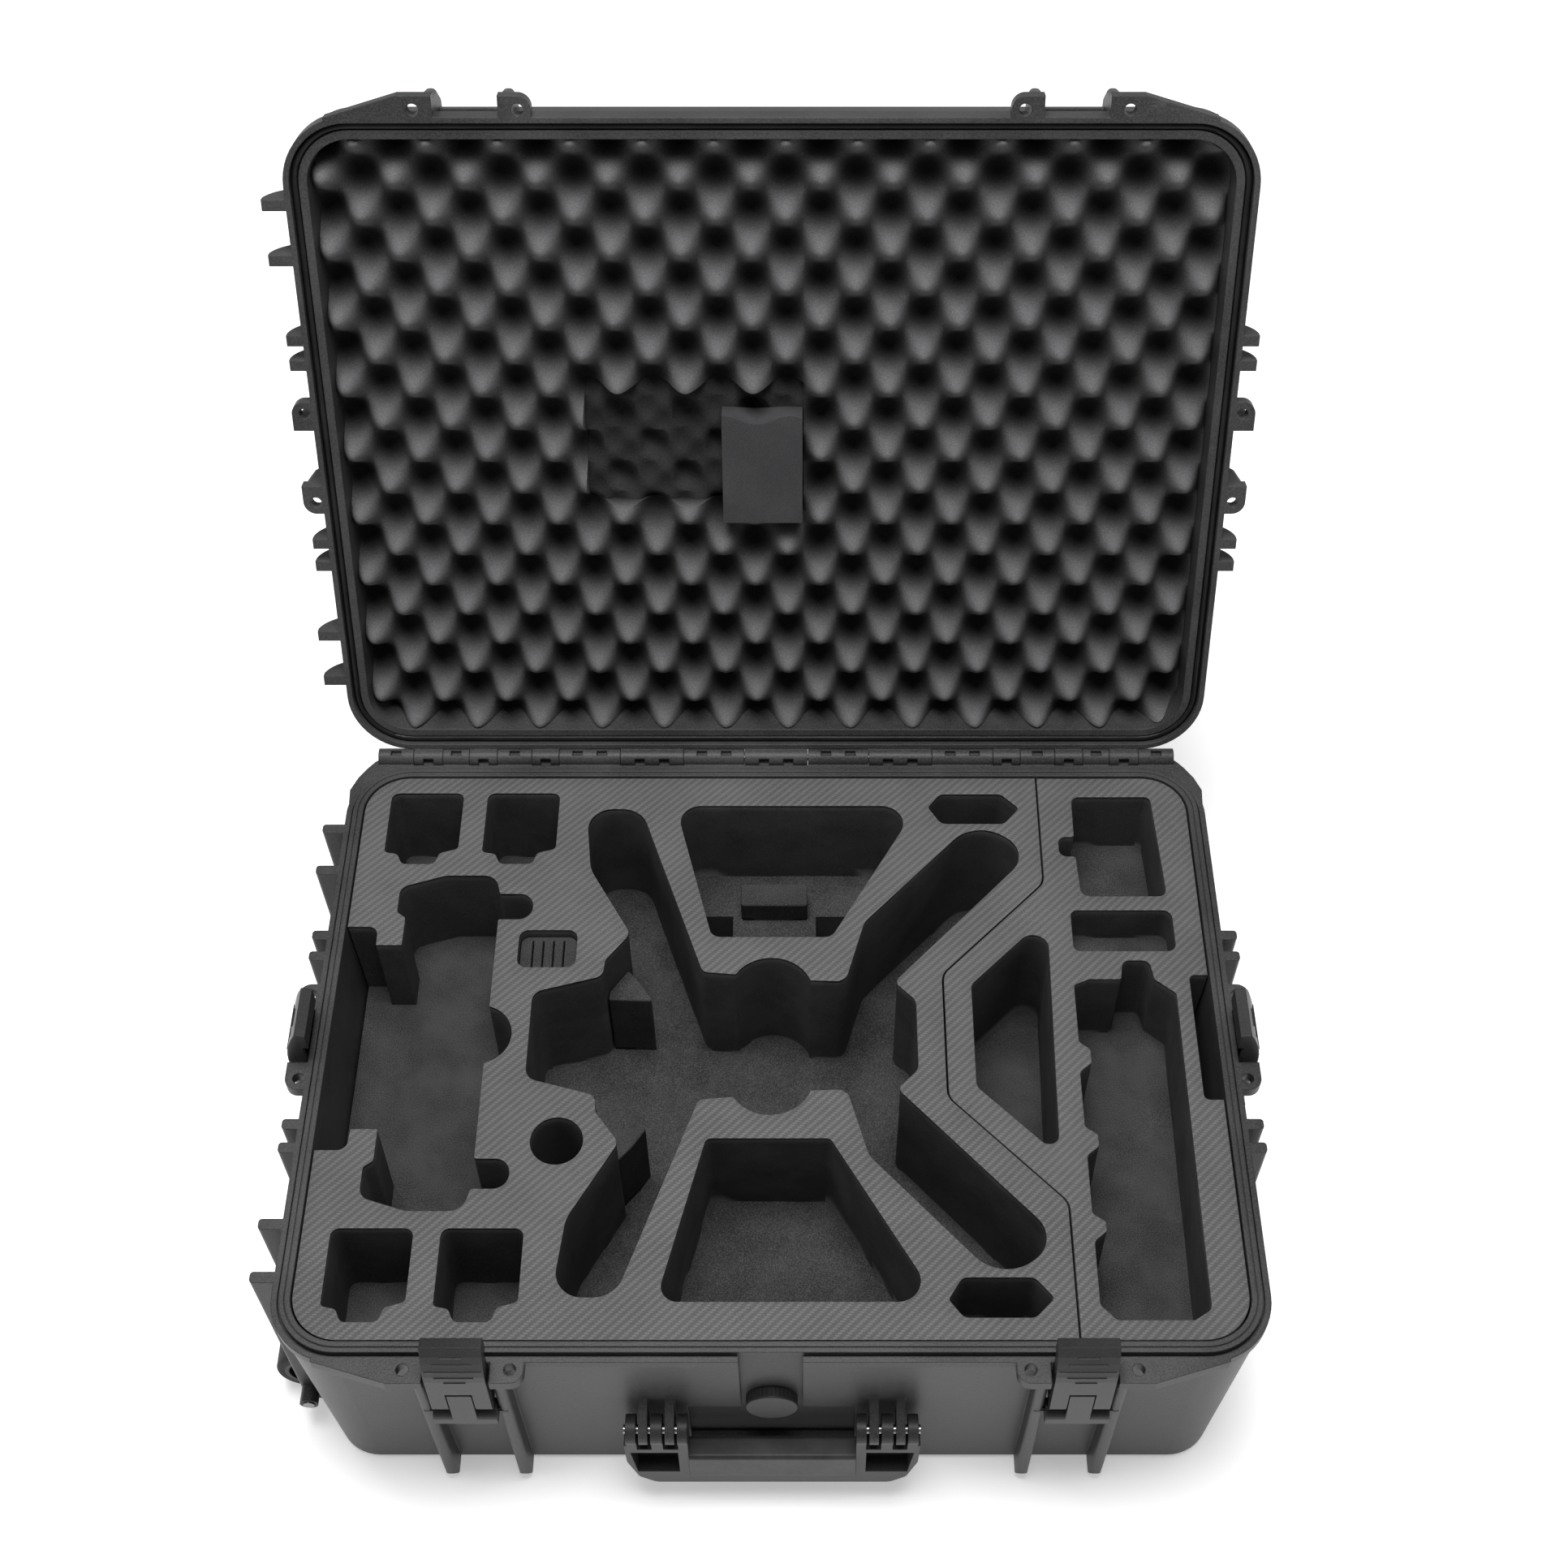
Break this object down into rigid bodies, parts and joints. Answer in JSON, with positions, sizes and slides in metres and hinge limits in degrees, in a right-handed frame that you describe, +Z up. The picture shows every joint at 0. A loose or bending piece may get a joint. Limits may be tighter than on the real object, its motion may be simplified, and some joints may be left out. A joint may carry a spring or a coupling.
{
  "type": "drone carrying case",
  "caption": "Hinged hard transport case, lid open, with cut-out foam trays, egg-crate lid foam, gasket, over-centre latches, carrying handle, purge valve and wheels.",
  "frame": {"origin": "centre of the base's flat bottom", "axes": "+Z up, +Y towards the lid hinge at the back, +X to the right seen from the handle side"},
  "size_m": [0.69, 0.712, 0.6743],
  "materials": {
    "shell_plastic": "fine moulded grain, satin black",
    "lid_plastic": "fine moulded grain, satin black",
    "latch_plastic": "satin black, raised lines",
    "handle_plastic": "satin black with a light grain",
    "knob_plastic": "satin black, knurled edge",
    "grip_rubber": "matte soft grip",
    "gasket_rubber": "satin black",
    "tyre_rubber": "matte",
    "pin_steel": "bright drawn steel",
    "tray_foam": "closed-cell foam with a fine speckle",
    "skin_laminate": "grey twill laminate",
    "block_foam": "closed-cell foam",
    "lid_foam": "open-cell egg-crate foam, charcoal"
  },
  "bodies": {
    "base": {"base_shell": "shell_plastic", "hinge_pins": "pin_steel", "latch_pins": "pin_steel", "handle_pins": "pin_steel", "valve_bush": "knob_plastic", "valve_seal": "gasket_rubber", "wheel_axles": "pin_steel", "main_tray": "tray_foam", "main_tray_skin": "skin_laminate", "rear_pocket_block": "block_foam", "rear_arm_step": "block_foam", "front_arm_step": "block_foam", "card_holder": "block_foam"},
    "lid": {"lid_shell": "lid_plastic", "lid_gasket": "gasket_rubber", "lid_foam": "lid_foam", "lid_foam_plug": "lid_foam"},
    "handle": {"handle_frame": "handle_plastic", "handle_grip": "grip_rubber"},
    "purge_knob": {"valve_knob": "knob_plastic"},
    "wheel_front": {"wheel_hub_front": "knob_plastic", "wheel_tyre_front": "tyre_rubber"},
    "wheel_back": {"wheel_hub_back": "knob_plastic", "wheel_tyre_back": "tyre_rubber"},
    "charging_insert": {"charging_tray": "tray_foam", "charging_tray_skin": "skin_laminate"},
    "link_front_left": {"latch_link_front_left": "latch_plastic", "lever_pin_front_left": "pin_steel"},
    "lever_front_left": {"latch_lever_front_left": "latch_plastic"},
    "link_front_right": {"latch_link_front_right": "latch_plastic", "lever_pin_front_right": "pin_steel"},
    "lever_front_right": {"latch_lever_front_right": "latch_plastic"},
    "link_side_left": {"latch_link_side_left": "latch_plastic", "lever_pin_side_left": "pin_steel"},
    "lever_side_left": {"latch_lever_side_left": "latch_plastic"},
    "link_side_right": {"latch_link_side_right": "latch_plastic", "lever_pin_side_right": "pin_steel"},
    "lever_side_right": {"latch_lever_side_right": "latch_plastic"}
  },
  "joints": [
    {"name": "lid_hinge", "type": "hinge", "parent": "base", "child": "lid", "pos_m": [0, 0.249, 0.1982], "axis": [1, 0, 0], "range_deg": [0, 109.3]},
    {"name": "link_pivot_front_left", "type": "hinge", "parent": "base", "child": "link_front_left", "pos_m": [-0.199, -0.2475, 0.138], "axis": [1, 0, 0], "range_deg": [0, 60]},
    {"name": "lever_pivot_front_left", "type": "hinge", "parent": "link_front_left", "child": "lever_front_left", "pos_m": [-0.199, -0.2475, 0.156], "axis": [1, 0, 0], "range_deg": [0, 110]},
    {"name": "link_pivot_front_right", "type": "hinge", "parent": "base", "child": "link_front_right", "pos_m": [0.199, -0.2475, 0.138], "axis": [1, 0, 0], "range_deg": [0, 60]},
    {"name": "lever_pivot_front_right", "type": "hinge", "parent": "link_front_right", "child": "lever_front_right", "pos_m": [0.199, -0.2475, 0.156], "axis": [1, 0, 0], "range_deg": [0, 110]},
    {"name": "link_pivot_side_left", "type": "hinge", "parent": "base", "child": "link_side_left", "pos_m": [-0.329, 0, 0.138], "axis": [0, -1, 0], "range_deg": [0, 60]},
    {"name": "lever_pivot_side_left", "type": "hinge", "parent": "link_side_left", "child": "lever_side_left", "pos_m": [-0.329, 0, 0.156], "axis": [0, -1, 0], "range_deg": [0, 110]},
    {"name": "link_pivot_side_right", "type": "hinge", "parent": "base", "child": "link_side_right", "pos_m": [0.329, 0, 0.138], "axis": [0, 1, 0], "range_deg": [0, 60]},
    {"name": "lever_pivot_side_right", "type": "hinge", "parent": "link_side_right", "child": "lever_side_right", "pos_m": [0.329, 0, 0.156], "axis": [0, 1, 0], "range_deg": [0, 110]},
    {"name": "handle_pivot", "type": "hinge", "parent": "base", "child": "handle", "pos_m": [0, -0.2485, 0.107], "axis": [-1, 0, 0], "range_deg": [-8, 100]},
    {"name": "purge_knob_turn", "type": "hinge", "parent": "base", "child": "purge_knob", "pos_m": [0, -0.237, 0.124], "axis": [0, -1, 0], "range_deg": [0, 120]},
    {"name": "wheel_front_spin", "type": "hinge", "parent": "base", "child": "wheel_front", "pos_m": [-0.327, -0.164, 0.03], "axis": [0, 1, 0], "continuous": true},
    {"name": "wheel_back_spin", "type": "hinge", "parent": "base", "child": "wheel_back", "pos_m": [-0.327, 0.162, 0.03], "axis": [0, 1, 0], "continuous": true},
    {"name": "charging_insert_lift", "type": "slide", "parent": "base", "child": "charging_insert", "axis": [0, 0, -1], "range_m": [-0.2, 0]}
  ]
}
